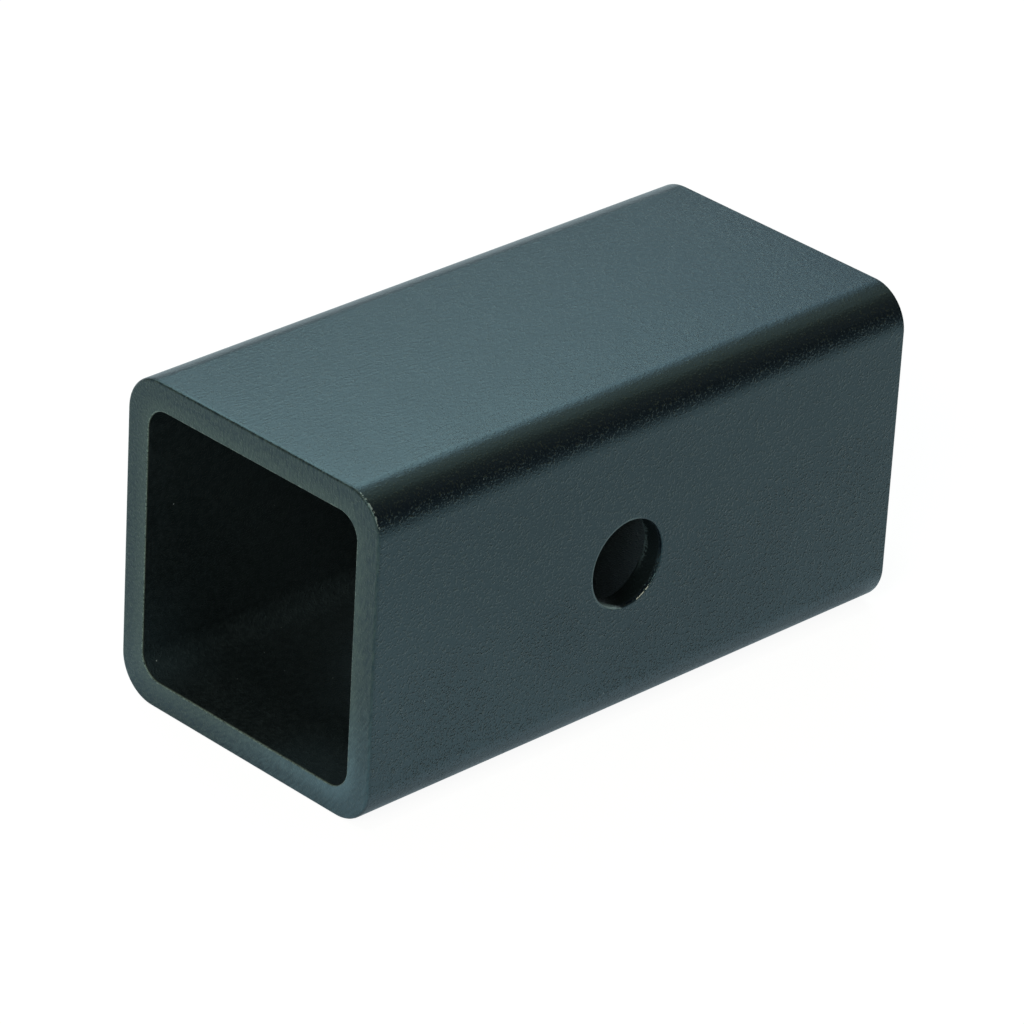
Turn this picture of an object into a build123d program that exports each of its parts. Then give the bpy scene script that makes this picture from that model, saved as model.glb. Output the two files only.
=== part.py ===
from build123d import *
import os

# Hitch receiver adapter: a sleeve cut from thick-walled square steel tube. It slides into a large
# receiver, takes a smaller shank inside, and one hitch pin passes through all three.
# The origin is where the pin's axis crosses the tube's centreline. The tube lies along X with its
# front end at -X, the pin passes along Y, and +Z is up.

# Driving dimensions, in millimetres
outer_width = 63.5  # across the outer flats, for a 2-1/2 in receiver
wall = 5.4  # thickness of the tube's wall
length = 127.0  # from sawn end to sawn end
outer_corner_radius = 7.8  # long corners outside
inner_corner_radius = 4.5  # long corners inside
end_edge_radius = 0.6  # outer edges of both ends, broken after sawing
mouth_edge_radius = 0.2  # inner edges of both ends
pin_diameter = 15.9  # 5/8 in hitch pin
pin_clearance = 0.8  # on the pin's diameter
pin_from_front = 59.7  # front end to the pin's axis
rim_radius = 0.25  # outer rims of the pin hole
breakout = 1.1  # bevel round the pin hole's inner rims, so that a shank slides past them

# Sizes that follow from them
inner_width = outer_width - 2 * wall
pin_hole_radius = (pin_diameter + pin_clearance) / 2
front_plane = Plane.YZ.offset(-pin_from_front)
drilled_side = Plane.XZ.offset(outer_width / 2)

os.makedirs("parts", exist_ok=True)

with BuildPart() as sleeve:
    # Tube section, run from the front end to the back
    with BuildSketch(front_plane):
        RectangleRounded(outer_width, outer_width, outer_corner_radius)
        RectangleRounded(inner_width, inner_width, inner_corner_radius, mode=Mode.SUBTRACT)
    extrude(amount=length)

    # Broken edges round the outside and the mouth of each end
    ends = sleeve.faces().filter_by(Plane.YZ)
    fillet([end.outer_wire().edges() for end in ends], end_edge_radius)
    ends = sleeve.faces().filter_by(Plane.YZ)
    fillet([mouth.edges() for end in ends for mouth in end.inner_wires()], mouth_edge_radius)

    # Pin hole drilled through both side walls, its outer rims softened and its inner ones opened out
    with Locations(drilled_side):
        Hole(pin_hole_radius)
    rims = sleeve.edges(Select.LAST).filter_by(GeomType.CIRCLE).group_by(Axis.Y)
    fillet(rims[0] + rims[-1], rim_radius)
    chamfer(rims[1] + rims[2], breakout)

sleeve.part.label = "adapter_sleeve"
export_step(sleeve.part, "parts/adapter_sleeve.step")
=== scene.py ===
"""Looks of the hitch receiver adapter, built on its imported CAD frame.

The sleeve is one length of square tube. It lies along X with its front end at -X, the pin hole runs
along Y, and the origin is where the hole's axis crosses the tube's centreline. Lengths are in metres.
"""

import math
from types import SimpleNamespace

import bmesh
import bpy
from mathutils import Matrix, Vector


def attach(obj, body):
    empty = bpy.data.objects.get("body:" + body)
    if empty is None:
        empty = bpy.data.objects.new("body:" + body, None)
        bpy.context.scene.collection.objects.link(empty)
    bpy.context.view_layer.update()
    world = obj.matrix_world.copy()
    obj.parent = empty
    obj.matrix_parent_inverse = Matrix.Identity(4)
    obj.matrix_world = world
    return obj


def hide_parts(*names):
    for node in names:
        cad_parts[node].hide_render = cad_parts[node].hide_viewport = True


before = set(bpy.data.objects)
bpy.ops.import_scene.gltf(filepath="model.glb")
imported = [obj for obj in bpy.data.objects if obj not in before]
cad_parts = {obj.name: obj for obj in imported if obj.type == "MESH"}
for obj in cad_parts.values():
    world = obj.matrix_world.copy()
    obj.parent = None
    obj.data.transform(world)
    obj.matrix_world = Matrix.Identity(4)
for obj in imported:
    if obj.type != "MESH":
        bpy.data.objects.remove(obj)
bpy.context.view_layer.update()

MM = 0.001
MICRON = 0.001 * MM

# Sizes of the sleeve, as in its solid
OUTER_WIDTH = 63.5 * MM
WALL = 5.4 * MM
LENGTH = 127.0 * MM
FRONT = 59.7 * MM  # front end to the pin hole's axis
OUTER_CORNER = 7.8 * MM
INNER_CORNER = 4.5 * MM
END_EDGE = 0.6 * MM  # rounding of both ends' outer edges
MOUTH_EDGE = 0.2 * MM  # rounding of both mouths
HOLE_RADIUS = 8.35 * MM
RIM = 0.25 * MM  # rounding of the hole's outer rims
BREAKOUT = 1.1 * MM  # bevel of its inner rims

HALF_WIDTH = OUTER_WIDTH / 2
HALF_LENGTH = LENGTH / 2
MIDDLE = HALF_LENGTH - FRONT  # halfway along the tube

# Centre of the saw blade that left its strokes on the ends
BLADE_ACROSS = 50 * MM
BLADE_UP = 26 * MM

# Colours of the coat outside
SHADED_HOLLOW_BLACK = (0.0025, 0.0045, 0.008, 1)  # painted shade between the pebbles of its orange peel
HIGHLIT_PEBBLE_BLACK = (0.019, 0.021, 0.015, 1)  # painted highlight on them
CUT_GREY = (0.044, 0.058, 0.045, 1)  # thin, over a saw cut, and lighter there as painted light
PAINTED_LIGHT_CUT_GREY = (0.095, 0.16, 0.2, 1)  # the same with a painted reflection of the floor, low on the front end
NICK_GREY = (0.15, 0.19, 0.165, 1)
# painted highlight on the ends' edge at one corner
PAINTED_EDGE_HIGHLIGHT_GREY = (0.25, 0.3, 0.29, 1)
RIM_HIGHLIGHT_GREY = (0.14, 0.19, 0.2, 1)  # painted highlight, on the pin hole's rim
CRESCENT_HIGHLIGHT_GREY = (0.24, 0.34, 0.35, 1)  # painted highlight, low on that rim
# painted glint on the hole's rim, beside the low highlight
RIM_GLINT_PALE = (0.6, 0.6, 0.52, 1)
DUST_GREY = (0.3, 0.34, 0.34, 1)
COAT_TINT = (0.58, 0.93, 1.0, 1)  # of its gloss, inside too

# Colours of the coat inside
MOUTH_BLACK = (0.0065, 0.009, 0.0095, 1)
# painted light deep in the tube
PAINTED_LIGHT_DEEP_BLACK = (0.021, 0.028, 0.031, 1)
SOIL_GREY = (0.042, 0.054, 0.056, 1)
# painted sheen, low behind the front mouth
LOW_SHEEN_GREY = (0.032, 0.052, 0.062, 1)
# painted shade in the pin hole's bore
SHADED_HOLE_BLACK = (0.0018, 0.0022, 0.0023, 1)
BURR_GREY = (0.05, 0.07, 0.076, 1)
INNER_DUST_GREY = (0.32, 0.36, 0.36, 1)

# Floor
FLOOR_PAPER = (0.85, 0.85, 0.85, 1)
FLOOR_SEEN = (1.1, 1.1, 1.1, 1)
FLOOR_BESIDE = (0.8, 1.02, 1.14, 1)  # as the coat mirrors it close to the sleeve
FLOOR_AROUND = (0.76, 0.95, 1.02, 1)  # and further out
FLOOR_REACH = 4.0  # half its width
FLOOR_FLAT = 2.0  # radius that stays flat
FLOOR_RISE = 0.12  # how fast it curves up beyond that

# Camera, fitted to the photograph. Angles are in degrees
VIEW_AZIMUTH = 180 + 45.302
VIEW_ELEVATION = 28.084
VIEW_ROLL = 3.303
VIEW_DISTANCE = 1.1104
VIEW_AIM = Vector((2.05, -0.91, -3.53)) * MM
SENSOR = 36.0  # in millimetres, as is the lens
LENS = 221.81


class Wire:
    """A socket of a node tree. Arithmetic on values adds Math nodes, and node() adds any other node."""

    def __init__(self, socket):
        self.socket = socket
        self.tree = socket.id_data

    @staticmethod
    def find(sockets, key):
        """A socket by its place, its identifier or its name."""
        if isinstance(key, int):
            return sockets[key]
        for socket in sockets:
            if socket.identifier == key:
                return socket
        return sockets[key]

    @staticmethod
    def node(tree, kind, settings=None, inputs=None, output=0):
        """Adds a node with its settings, then its sockets' values or links, and returns one output."""
        made = tree.nodes.new(kind)
        for name, value in (settings or {}).items():
            setattr(made, name, value)
        for key, value in (inputs or {}).items():
            socket = Wire.find(made.inputs, key)
            if isinstance(value, Wire):
                tree.links.new(value.socket, socket)
            else:
                socket.default_value = value
        return Wire(Wire.find(made.outputs, output)) if len(made.outputs) else made

    def calc(self, operation, *values):
        return Wire.node(self.tree, "ShaderNodeMath", {"operation": operation}, dict(enumerate(values)))

    def math(self, operation, *others):
        return self.calc(operation, self, *others)

    def __add__(self, other):
        return self.calc("ADD", self, other)

    def __radd__(self, other):
        return self.calc("ADD", other, self)

    def __sub__(self, other):
        return self.calc("SUBTRACT", self, other)

    def __rsub__(self, other):
        return self.calc("SUBTRACT", other, self)

    def __mul__(self, other):
        return self.calc("MULTIPLY", self, other)

    def __rmul__(self, other):
        return self.calc("MULTIPLY", other, self)

    def __truediv__(self, other):
        return self.calc("DIVIDE", self, other)

    def __mod__(self, other):
        return self.calc("FLOORED_MODULO", self, other)

    def __abs__(self):
        return self.calc("ABSOLUTE", self)

    def over(self, limit):
        """1 where the value is above the limit, else 0."""
        return self.math("GREATER_THAN", limit)

    def larger(self, other):
        return self.math("MAXIMUM", other)

    def smaller(self, other):
        return self.math("MINIMUM", other)

    def ramp(self, low, high, start=0.0, end=1.0):
        """Goes smoothly from start to end while the value goes from low to high."""
        return Wire.node(
            self.tree,
            "ShaderNodeMapRange",
            {"interpolation_type": "SMOOTHSTEP"},
            {0: self, 1: low, 2: high, 3: start, 4: end},
        )

    def parts(self):
        """A vector's X, Y and Z."""
        first = Wire.node(self.tree, "ShaderNodeSeparateXYZ", {}, {0: self})
        return [Wire(socket) for socket in first.socket.node.outputs]


# Sleeve


def sleeve_tree(inputs):
    """A tube wall's outline carried round a rounded square, then drilled, its rims marked for rounding."""
    kinds = {float: "NodeSocketFloat", int: "NodeSocketInt", bpy.types.Material: "NodeSocketMaterial"}
    tree = bpy.data.node_groups.new("square_tube_sleeve", "GeometryNodeTree")
    for name, value in inputs.items():
        tree.interface.new_socket(name, in_out="INPUT", socket_type=kinds[type(value)])
    tree.interface.new_socket("Sleeve", in_out="OUTPUT", socket_type="NodeSocketGeometry")
    given = tree.nodes.new("NodeGroupInput")

    def size(name):
        return Wire(given.outputs[name])

    def node(kind, inputs=None, settings=None, output=0):
        return Wire.node(tree, kind, settings, inputs, output)

    def rounded(width, height, radius, steps):
        box = node("GeometryNodeCurvePrimitiveQuadrilateral", {"Width": width, "Height": height})
        corners = {"Curve": box, "Count": steps, "Radius": radius}
        return node("GeometryNodeFilletCurve", corners, {"mode": "POLY"})

    def count(curve):
        return node("GeometryNodeAttributeDomainSize", {0: curve}, {"component": "CURVE"}, "Point Count")

    def point(curve, index):
        picked = {"Geometry": curve, "Value": place, "Index": index}
        return node("GeometryNodeSampleIndex", picked, {"data_type": "FLOAT_VECTOR", "domain": "POINT"})

    width = size("Outer Width")
    wall = size("Wall")
    length = size("Length")
    place = node("GeometryNodeInputPosition")

    # Outer and inner squares, and the wall's outline as it is cut along the tube
    outside = rounded(width, width, size("Outer Corner"), size("Corner Steps"))
    bore = width - wall * 2
    inside = rounded(bore, bore, size("Inner Corner"), size("Corner Steps"))
    is_outer = place.parts()[1].over(0.0)
    edge = size("Mouth Edge") + is_outer * (size("End Edge") - size("Mouth Edge"))
    outline = rounded(length, wall, edge, size("Edge Steps"))

    # A grid takes one outline point and one place round the squares at each of its corners
    around = count(outside)
    along = count(outline)
    sheet = {"Vertices X": around + 1, "Vertices Y": along + 1}
    sheet = node("GeometryNodeMeshGrid", sheet)
    index = node("GeometryNodeInputIndex")
    turn = (index / (along + 1)).math("FLOOR") % around
    run, depth = point(outline, index % (along + 1) % along).parts()[:2]
    blend = {
        "Factor_Float": 0.5 - depth / wall,
        "A_Vector": point(outside, turn),
        "B_Vector": point(inside, turn),
    }
    blend = node("ShaderNodeMix", blend, {"data_type": "VECTOR"}, "Result_Vector")
    across, up = blend.parts()[:2]
    spot = node("ShaderNodeCombineXYZ", {"X": run + length / 2 - size("Front"), "Y": across, "Z": up})
    tube = node("GeometryNodeSetPosition", {"Geometry": sheet, "Position": spot})
    tube = node("GeometryNodeMergeByDistance", {"Geometry": tube, "Distance": MICRON})

    # Pin hole along Y through both side walls. The drill is a cylinder of six rings, moved apart: two
    # inside the tube, swollen to open the inner rims, two in the walls and two beyond them
    hole = size("Hole Radius")
    breakout = size("Breakout")
    drill = {"Vertices": size("Hole Steps"), "Side Segments": 5, "Radius": hole, "Depth": 1.0}
    drill = node("GeometryNodeMeshCylinder", drill)
    run, across, depth = place.parts()
    in_wall = abs(depth).over(0.2)
    beyond = abs(depth).over(0.4)
    swell = 1 + (1 - in_wall) * breakout * 2 / hole
    level = width / 2 - wall - breakout + in_wall * breakout * 2 + beyond * width
    spot = {"X": run * swell, "Y": depth.math("SIGN") * level, "Z": across * swell * -1}
    spot = node("ShaderNodeCombineXYZ", spot)
    drill = node("GeometryNodeSetPosition", {"Geometry": drill, "Position": spot})
    cut = {"operation": "DIFFERENCE", "solver": "EXACT"}
    tube = node("GeometryNodeMeshBoolean", {"Mesh 1": tube, "Mesh 2": drill}, cut)

    # The hole's outer rims, square edges, are marked for rounding. Its bevelled inner ones stay sharp
    angle = node("GeometryNodeInputMeshEdgeAngle", output="Unsigned Angle")
    square = angle.over(1.0)
    bevelled = angle.over(0.6) - square
    outer_rims = {"Geometry": tube, "Name": "bevel_weight_edge", "Value": square}
    tube = node("GeometryNodeStoreNamedAttribute", outer_rims, {"data_type": "FLOAT", "domain": "EDGE"})
    tube = node("GeometryNodeSetShadeSmooth", {"Geometry": tube, "Shade Smooth": True})
    inner_rims = {"Geometry": tube, "Selection": bevelled, "Shade Smooth": False}
    tube = node("GeometryNodeSetShadeSmooth", inner_rims, {"domain": "EDGE"})
    tube = node("GeometryNodeRealizeInstances", {"Geometry": tube})
    tube = node("GeometryNodeSetMaterial", {"Geometry": tube, "Material": size("Coat")})
    done = tree.nodes.new("NodeGroupOutput")
    tree.links.new(tube.socket, done.inputs["Sleeve"])
    return tree


def make_sleeve(coat):
    """The drilled tube as one plain mesh, its edges rounded and its flats shaded flat."""
    sleeve = bpy.data.objects.new("sleeve", bpy.data.meshes.new("sleeve"))
    bpy.context.scene.collection.objects.link(sleeve)
    inputs = {
        "Outer Width": OUTER_WIDTH,
        "Wall": WALL,
        "Length": LENGTH,
        "Front": FRONT,
        "Outer Corner": OUTER_CORNER,
        "Inner Corner": INNER_CORNER,
        "Corner Steps": 24,
        "End Edge": END_EDGE,
        "Mouth Edge": MOUTH_EDGE,
        "Edge Steps": 5,
        "Hole Radius": HOLE_RADIUS,
        "Breakout": BREAKOUT,
        "Hole Steps": 96,
        "Coat": coat,
    }
    shape = sleeve.modifiers.new("square_tube", "NODES")
    shape.node_group = sleeve_tree(inputs)
    for socket in shape.node_group.interface.items_tree:
        if socket.in_out == "INPUT":
            shape[socket.identifier] = inputs[socket.name]
    rounding = sleeve.modifiers.new("rim_rounding", "BEVEL")
    rounding.limit_method = "WEIGHT"
    rounding.width = RIM
    rounding.segments = 4
    rounding.use_clamp_overlap = False
    shading = sleeve.modifiers.new("flat_shading", "WEIGHTED_NORMAL")
    shading.keep_sharp = True
    bpy.context.view_layer.update()
    finished = sleeve.evaluated_get(bpy.context.evaluated_depsgraph_get())
    mesh = bpy.data.meshes.new_from_object(finished)
    sleeve.modifiers.clear()
    sleeve.data = mesh
    mesh.name = "sleeve"
    return sleeve


# Finishes


class Finish:
    """A new material, and the nodes that finishes are made of."""

    def __init__(self, name):
        self.material = bpy.data.materials.new(name)
        self.material.use_nodes = True
        self.tree = self.material.node_tree
        self.tree.nodes.clear()

    def node(self, kind, inputs, settings=None, output=0):
        return Wire.node(self.tree, kind, settings, inputs, output)

    def noise(self, where, grain, detail=0.0, roughness=0.5):
        """Soft noise, its lumps about as large as the grain."""
        made = {"Vector": where, "Scale": 1 / grain, "Detail": detail, "Roughness": roughness}
        return self.node("ShaderNodeTexNoise", made, {"noise_dimensions": "3D"}, "Fac")

    def mix(self, amount, one, other, clamp=True):
        """One colour at amount 0, the other at 1, and beyond them if nothing clamps the amount."""
        made = {"Factor_Float": amount, "A_Color": one, "B_Color": other}
        return self.node("ShaderNodeMix", made, {"data_type": "RGBA", "clamp_factor": clamp}, "Result_Color")


def sleeve_zones(coat):
    """Where a point lies on the sleeve, and whether on a sawn end, in the tube or in the pin hole."""
    place = coat.node("ShaderNodeTexCoord", {}, output="Object")
    x, y, z = place.parts()
    core = HALF_WIDTH - WALL - INNER_CORNER
    past_y = (abs(y) - core).larger(0.0)
    past_z = (abs(z) - core).larger(0.0)
    in_wall = (past_y * past_y + past_z * past_z).math("SQRT") - INNER_CORNER
    off_pin = (x * x + z * z).math("SQRT") - HOLE_RADIUS
    in_hole = off_pin.ramp(BREAKOUT, BREAKOUT + 0.1 * MM, 1.0, 0.0)
    in_hole = in_hole * abs(y).ramp(HALF_WIDTH - 1.1 * MM, HALF_WIDTH - 0.6 * MM, 1.0, 0.0)
    return SimpleNamespace(
        place=place,
        x=x,
        y=y,
        z=z,
        on_end=abs(x - MIDDLE).ramp(HALF_LENGTH - 0.5 * MM, HALF_LENGTH - 0.1 * MM),
        in_wall=in_wall,
        in_tube=in_wall.ramp(0.02 * MM, 0.15 * MM, 1.0, 0.0),
        off_pin=off_pin,
        in_hole=in_hole,
    )


def coat_grain(coat, at):
    """Patterns in the coat: its orange peel, plain and drawn out, patches, saw strokes and grit."""
    blisters = coat.noise(at.place, 0.4 * MM, 1.0, 0.5)
    drawn_at = coat.node("ShaderNodeCombineXYZ", {"X": at.x * 0.4, "Y": at.y, "Z": at.z})

    # Saw strokes are short arcs about the blade's centre
    across = at.y - BLADE_ACROSS
    up = at.z - BLADE_UP
    reach = (across * across + up * up).math("SQRT")
    swing = up.math("ARCTAN2", across)
    strokes_at = coat.node("ShaderNodeCombineXYZ", {"X": reach / (0.45 * MM), "Y": swing * 40.0})

    # Grit is pale specks of dust and dark pits, both few
    cells = {"Vector": at.place, "Scale": 1 / (4.5 * MM)}
    grit = coat.node("ShaderNodeTexVoronoi", cells, {"feature": "F1"}, "Distance")
    kind = Wire(grit.socket.node.outputs["Color"]).parts()[0]
    speck = grit.ramp(0.015, 0.04, 1.0, 0.0)
    pit = speck * kind.over(0.6)
    return SimpleNamespace(
        blisters=blisters,
        ragged=blisters - 0.5,
        pebbles=blisters.ramp(0.5, 0.78),
        drawn=coat.noise(drawn_at, 0.6 * MM, 1.0, 0.6),
        patches=coat.noise(at.place, 16 * MM).ramp(0.35, 0.65),
        strokes=coat.noise(strokes_at, 1.0, 1.0, 0.6),
        speck=speck,
        pit=pit,
        dust=speck - pit,
    )


def coat_marks(at, grain):
    """Marks that show outside and in: nicks round the mouths, and a painted highlight low on the hole's rim.
    """
    nicks = at.on_end * (at.in_wall + grain.ragged * 0.9 * MM).ramp(0.05 * MM, 0.2 * MM, 1.0, 0.0)
    # Painted highlight low on the hole's rim, running a little into the bore
    crescent_highlight = at.x * -0.44 - at.z * 0.9 - (HALF_WIDTH - abs(at.y)) * 0.15 + grain.ragged * 0.5 * MM
    crescent_highlight = crescent_highlight.ramp(7.75 * MM, 8.25 * MM) * at.off_pin.ramp(0.05 * MM, 0.2 * MM, 1.0, 0.0)
    return SimpleNamespace(nicks=nicks * 0.8, crescent_highlight=crescent_highlight)


def coat_relief(coat, at, grain):
    """Bumps of the coat, from heights in micrometres."""
    # On top the orange peel is fine and drawn out along the tube. Down the sides it is pebbly, most of
    # all in patches low down
    down = at.z.ramp(26 * MM, 31.7 * MM, 1.0, 0.0)
    coarse = (at.x * 0.1 - at.z).ramp(-6 * MM, 8 * MM) * (0.4 + 0.6 * grain.patches)
    pebbly = 16.0 + down * (36.0 + 100.0 * coarse)
    streaky = 36.0 - down * 28.0
    peel = grain.pebbles * pebbly + grain.drawn * streaky + grain.blisters * down * 26.0

    # The flats are crowned a little, and their ends fall away where they were dressed after sawing
    crowned = abs(at.y).smaller(HALF_WIDTH - OUTER_CORNER) / MM
    dressed = (8 - (HALF_LENGTH - abs(at.x - MIDDLE)) / MM).larger(0.0)
    peel = peel - crowned * crowned * 0.2 - dressed * dressed * 0.75

    # On the ends the coat softens the saw strokes, which are deepest high up
    sawn = grain.pebbles * 40.0 + grain.strokes * (25.0 + 45.0 * at.z.ramp(-15 * MM, 25 * MM))
    bump = {"Strength": 1.0, "Distance": MICRON, "Height": peel + (sawn - peel) * at.on_end}
    return coat.node("ShaderNodeBump", bump, output="Normal")


def outer_coat(coat, at, grain, marks, relief):
    """Satin black paint outside the tube, with a warm painted highlight on its pebbles and a cool painted
    shade between them.
    """
    # The orange peel's pebbles carry a painted highlight and its hollows a painted shade
    paint = coat.mix(grain.pebbles, SHADED_HOLLOW_BLACK, HIGHLIT_PEBBLE_BLACK)

    # Over the saw cut it is thin and greyer, lighter with painted light, paler on the strokes and by the
    # mouth, and nicked round it.
    # One corner's edge carries a painted highlight
    # Painted reflection of the bright floor, bluish and lighter, low on the front end
    painted_floor_light = (at.y * 0.6 + at.z).ramp(-46 * MM, -20 * MM, 1.0, 0.0)
    painted_floor_light = painted_floor_light * at.x.ramp(-20 * MM, 20 * MM, 1.0, 0.0)
    cut = coat.mix(painted_floor_light, CUT_GREY, PAINTED_LIGHT_CUT_GREY)
    pale = grain.strokes.ramp(0.25, 0.75) * (0.6 - 0.4 * painted_floor_light) + 0.2 * painted_floor_light
    pale = pale + at.in_wall.ramp(0.5 * MM, 3.5 * MM, 0.4, 0.0)
    paint = coat.mix(at.on_end * pale, paint, cut)
    paint = coat.mix(marks.nicks, paint, NICK_GREY)
    on_edge = at.on_end * (1 - at.on_end) * 4
    # Painted highlight on the ends' edge at the top corner of the -Y side
    painted_edge_highlight = on_edge * (at.z - at.y).ramp(56.5 * MM, 58 * MM) * grain.blisters.over(0.5)
    paint = coat.mix(painted_edge_highlight, paint, PAINTED_EDGE_HIGHLIGHT_GREY)

    # Round the pin hole there is a painted highlight on the rim's upper front part, another painted
    # highlight low down, and a painted glint beside that
    rim_highlight = at.off_pin.ramp(0.38 * MM, 0.5 * MM, 1.0, 0.0) * (at.z * 0.5 - at.x).ramp(0.0, 4 * MM)
    paint = coat.mix(rim_highlight * 0.5, paint, RIM_HIGHLIGHT_GREY)
    paint = coat.mix(marks.crescent_highlight, paint, CRESCENT_HIGHLIGHT_GREY)
    rim_glint = at.off_pin.ramp(0.09 * MM, 0.15 * MM, 1.0, 0.0)
    rim_glint = rim_glint * (at.x * 0.62 - at.z).ramp(9.6 * MM, 9.72 * MM) * grain.blisters.over(0.47)
    rim_glint = rim_glint * abs(at.y).ramp(HALF_WIDTH - 0.17 * MM, HALF_WIDTH - 0.11 * MM)
    paint = coat.mix(rim_glint, paint, RIM_GLINT_PALE)
    paint = coat.mix(grain.dust * 0.6, paint, DUST_GREY)

    rough = 0.3 + (grain.patches - 0.5) * 0.02 + at.on_end * 0.08
    finish = {
        "Base Color": paint,
        "Roughness": rough + grain.speck * 0.3 + grain.pit * 0.3,
        "IOR": 1.53,
        "Specular Tint": COAT_TINT,
        "Normal": relief,
    }
    return coat.node("ShaderNodeBsdfPrincipled", finish)


def inner_coat(coat, at, grain, marks, relief):
    """Thin, dull and dusty paint inside the tube, lighter deeper in with painted light. In the pin hole it
    is darker with painted shade, with a pale ragged burr.
    """
    soil = coat.noise(at.place, 0.9 * MM, 1.0, 0.65).ramp(0.35, 0.75)
    # Painted light: lighter, and its soil stronger, from the front mouth to deep in the tube
    painted_light_within = at.x.ramp(-57 * MM, -15 * MM)
    painted_light_deep = at.x.ramp(5 * MM, 40 * MM)
    clean = coat.mix((painted_light_within + painted_light_deep) * 0.5, MOUTH_BLACK, PAINTED_LIGHT_DEEP_BLACK)
    dull = coat.mix(soil * (0.22 + 0.06 * painted_light_within + 0.6 * painted_light_deep), clean, SOIL_GREY)

    # A painted sheen lies low down behind the mouth
    low_sheen = at.x.ramp(-59 * MM, -40 * MM, 1.0, 0.0) * abs(at.y - 6 * MM).ramp(8 * MM, 20 * MM)
    low_sheen = low_sheen * at.z.ramp(-24 * MM, -6 * MM, 1.0, 0.0)
    dull = coat.mix(low_sheen * 0.28, dull, LOW_SHEEN_GREY)
    dull = coat.mix(marks.nicks, dull, NICK_GREY)

    burr = (abs(at.y) + grain.ragged * 3.0 * MM).ramp(27.8 * MM, 28.1 * MM, 1.0, 0.0)
    burr = burr * (at.x + at.z).ramp(0.0, 8 * MM)
    # The bore is darkened with painted shade
    drilled = coat.mix(burr, SHADED_HOLE_BLACK, BURR_GREY)
    drilled = coat.mix(marks.crescent_highlight, drilled, CRESCENT_HIGHLIGHT_GREY)
    dull = coat.mix(at.in_hole, dull, drilled)
    dull = coat.mix(grain.dust, dull, INNER_DUST_GREY)
    finish = {
        "Base Color": dull,
        "Roughness": 0.5 + (soil - 0.5) * 0.1 + at.in_hole * 0.15,
        "IOR": 1.3,
        "Specular Tint": COAT_TINT,
        "Normal": relief,
    }
    return coat.node("ShaderNodeBsdfPrincipled", finish)


def powder_coat():
    """Satin black powder coat: orange peel all over, saw strokes under it on the ends, and dust."""
    coat = Finish("black_powder_coat")
    at = sleeve_zones(coat)
    grain = coat_grain(coat, at)
    marks = coat_marks(at, grain)
    relief = coat_relief(coat, at, grain)
    outer = outer_coat(coat, at, grain, marks, relief)
    inner = inner_coat(coat, at, grain, marks, relief)
    surface = coat.node("ShaderNodeMixShader", {0: at.in_tube.larger(at.in_hole), 1: outer, 2: inner})
    coat.node("ShaderNodeOutputMaterial", {"Surface": surface})
    return coat.material


def floor_white():
    """White floor that takes a soft shadow. Mirrored in the coat, it is a cool white with painted light and
    shade, and it ends nearby.
    """
    white = Finish("white_floor")
    camera = white.node("ShaderNodeLightPath", {}, output="Is Camera Ray")
    mirrored = white.node("ShaderNodeLightPath", {}, output="Is Glossy Ray")
    through = white.node("ShaderNodeLightPath", {}, output="Is Transmission Ray")
    x, y = white.node("ShaderNodeTexCoord", {}, output="Object").parts()[:2]
    reach = (x * x + y * y).math("SQRT")
    past_end = (abs(x - MIDDLE) - HALF_LENGTH).larger(0.0)
    past_side = (abs(y) - HALF_WIDTH).larger(0.0)
    gap = (past_end * past_end + past_side * past_side).math("SQRT")

    # Mirrored, it has a painted shadow at the sleeve's foot and painted dimming far off, painted light in a
    # band along the sides, and painted light before the drilled side towards the front end
    painted_floor_shading = gap.ramp(0.0, 3.5 * MM, 0.6, 1.0) * (1 - reach.ramp(0.3, 0.9) * y.ramp(-0.1, 0.3, 0.85, 0.25))
    painted_light_band = 0.2 * past_side.ramp(MM, 4 * MM) * past_side.ramp(9 * MM, 18 * MM, 1.0, 0.0)
    # Painted light on the mirrored floor before the drilled side, towards the front end
    before = 0.34 * x.ramp(-30 * MM, 35 * MM, 1.0, 0.0) * y.ramp(-60 * MM, -30 * MM, 1.0, 0.0)
    painted_floor_shading = painted_floor_shading * (1 + painted_light_band) * (1 + before)
    cool = white.mix(gap.ramp(2 * MM, 14 * MM), FLOOR_BESIDE, FLOOR_AROUND)
    cool = white.mix(painted_floor_shading, (0, 0, 0, 1), cool, clamp=False)

    lit = camera * (0.85 + 0.15 * reach.ramp(0.25, 0.7)) + (mirrored + through) * 0.75
    matte = white.node("ShaderNodeBsdfDiffuse", {"Color": FLOOR_PAPER})
    glow = {"Color": white.mix(camera, cool, FLOOR_SEEN), "Strength": 1.0}
    glow = white.node("ShaderNodeEmission", glow)
    seen = white.node("ShaderNodeMixShader", {0: lit, 1: matte, 2: glow})
    white.node("ShaderNodeOutputMaterial", {"Surface": seen})
    return white.material


# Studio


def make_floor():
    """A wide floor that rises gently towards its rim, so that low views end on it too."""
    build = bmesh.new()
    bmesh.ops.create_grid(build, x_segments=80, y_segments=80, size=FLOOR_REACH)
    for corner in build.verts:
        beyond = max(0.0, corner.co.xy.length - FLOOR_FLAT)
        corner.co.z = FLOOR_RISE * beyond * beyond - HALF_WIDTH
    mesh = bpy.data.meshes.new("studio_floor")
    build.to_mesh(mesh)
    build.free()
    floor = bpy.data.objects.new("studio_floor", mesh)
    floor.data.materials.append(floor_white())
    bpy.context.scene.collection.objects.link(floor)


def bearing(azimuth, elevation):
    """A direction by its compass angle from +Y towards +X and its height, in degrees."""
    turn = math.radians(azimuth)
    rise = math.radians(elevation)
    return Vector((math.sin(turn) * math.cos(rise), math.cos(turn) * math.cos(rise), math.sin(rise)))


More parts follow.
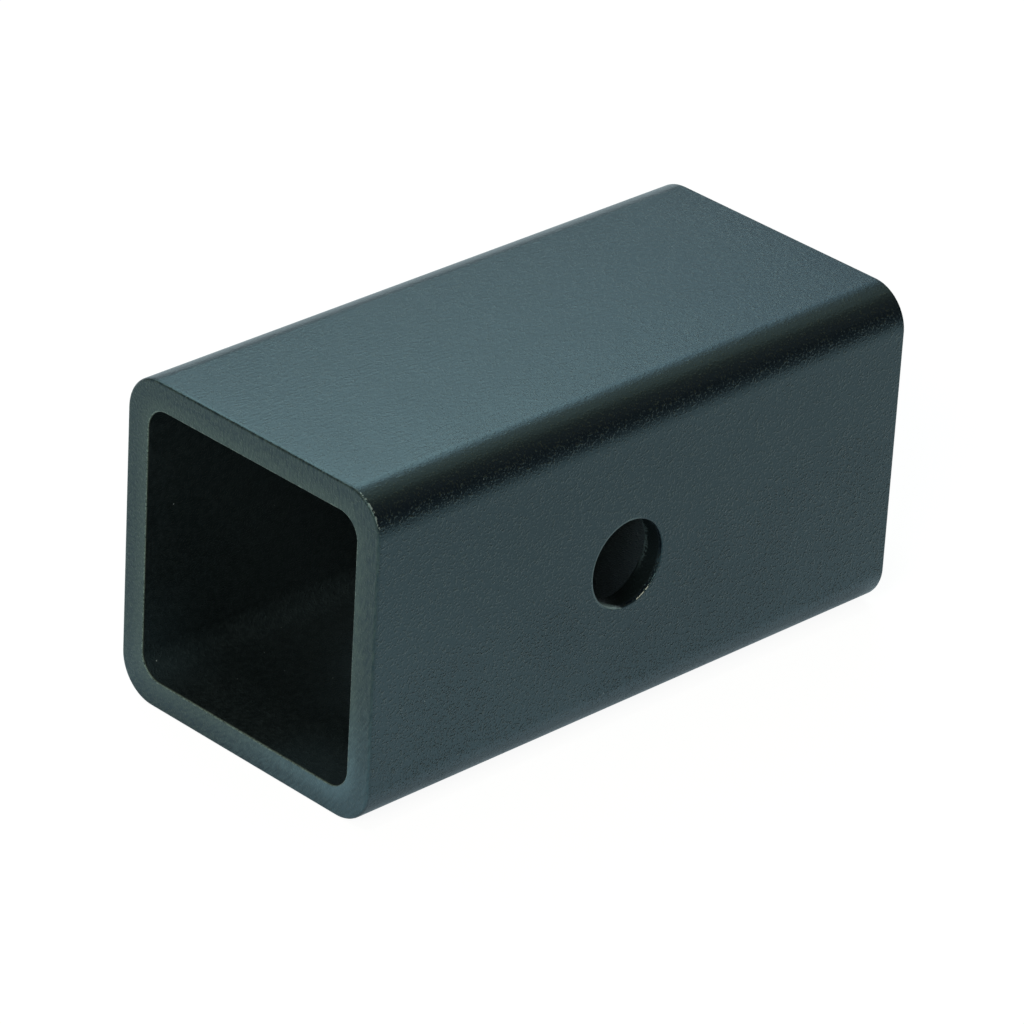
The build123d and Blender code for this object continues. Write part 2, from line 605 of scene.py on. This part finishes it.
def soft_light(name, away, distance, size, level, colour):
    """A rectangular soft light that faces the origin. Level 1 shines as bright as white paper."""
    width, height = size
    lamp = bpy.data.lights.new(name, "AREA")
    lamp.shape = "RECTANGLE"
    lamp.size = width
    lamp.size_y = height
    lamp.energy = level * math.pi * width * height
    lamp.color = colour
    light = bpy.data.objects.new(name, lamp)
    light.location = away * distance
    light.rotation_euler = away.to_track_quat("Z", "Y").to_euler()
    bpy.context.scene.collection.objects.link(light)


def make_lights():
    """Soft light from behind, from overhead and from near the camera, in a dim room."""
    soft_light("horizon_light", bearing(37, 8), 1.6, (1.5, 0.56), 0.6, (0.86, 1.0, 1.08))
    soft_light("back_light", bearing(24, 41), 1.25, (1.0, 0.42), 2.1, (0.74, 1.0, 0.94))
    soft_light("wide_back_light", bearing(26, 43), 1.25, (1.25, 0.62), 1.0, (0.66, 1.0, 1.3))
    soft_light("upper_light", bearing(76, 54), 1.5, (0.9, 0.8), 0.44, (0.82, 1.0, 0.98))
    soft_light("ceiling_light", bearing(70, 78), 1.7, (2.4, 2.4), 0.275, (1.0, 1.0, 0.7))
    soft_light("room_light", bearing(126, 34), 1.6, (0.5, 0.5), 0.2, (1.0, 0.95, 0.92))
    soft_light("overhead_light", bearing(-115, 76), 1.5, (0.2, 0.2), 20.0, (1.0, 0.96, 0.9))
    soft_light("front_light", bearing(-115, 33), 1.6, (0.7, 0.7), 8.8, (0.95, 1.0, 0.89))
    room = bpy.data.worlds.new("studio")
    room.use_nodes = True
    room.node_tree.nodes.clear()
    dim = {"Color": (1, 1, 1, 1), "Strength": 0.06}
    dim = Wire.node(room.node_tree, "ShaderNodeBackground", {}, dim)
    Wire.node(room.node_tree, "ShaderNodeOutputWorld", {}, {"Surface": dim})
    bpy.context.scene.world = room


def make_camera():
    """Camera at the photograph's viewing angle, on a long lens."""
    away = bearing(VIEW_AZIMUTH, VIEW_ELEVATION)
    roll = math.radians(VIEW_ROLL)
    level = (-away).cross(Vector((0, 0, 1))).normalized()
    upright = level.cross(-away)
    right = level * math.cos(roll) + upright * math.sin(roll)
    top = upright * math.cos(roll) - level * math.sin(roll)
    view = bpy.data.cameras.new("camera")
    view.sensor_width = SENSOR
    view.lens = LENS
    view.clip_start = 0.01
    view.clip_end = 20.0
    camera = bpy.data.objects.new("camera", view)
    turned = Matrix((right, top, away)).transposed()
    camera.matrix_world = Matrix.Translation(VIEW_AIM + away * VIEW_DISTANCE) @ turned.to_4x4()
    bpy.context.scene.collection.objects.link(camera)
    bpy.context.scene.camera = camera


sleeve = make_sleeve(powder_coat())
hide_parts("adapter_sleeve")
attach(sleeve, "root")

make_floor()
make_lights()
make_camera()
bpy.context.scene.view_settings.view_transform = "Standard"
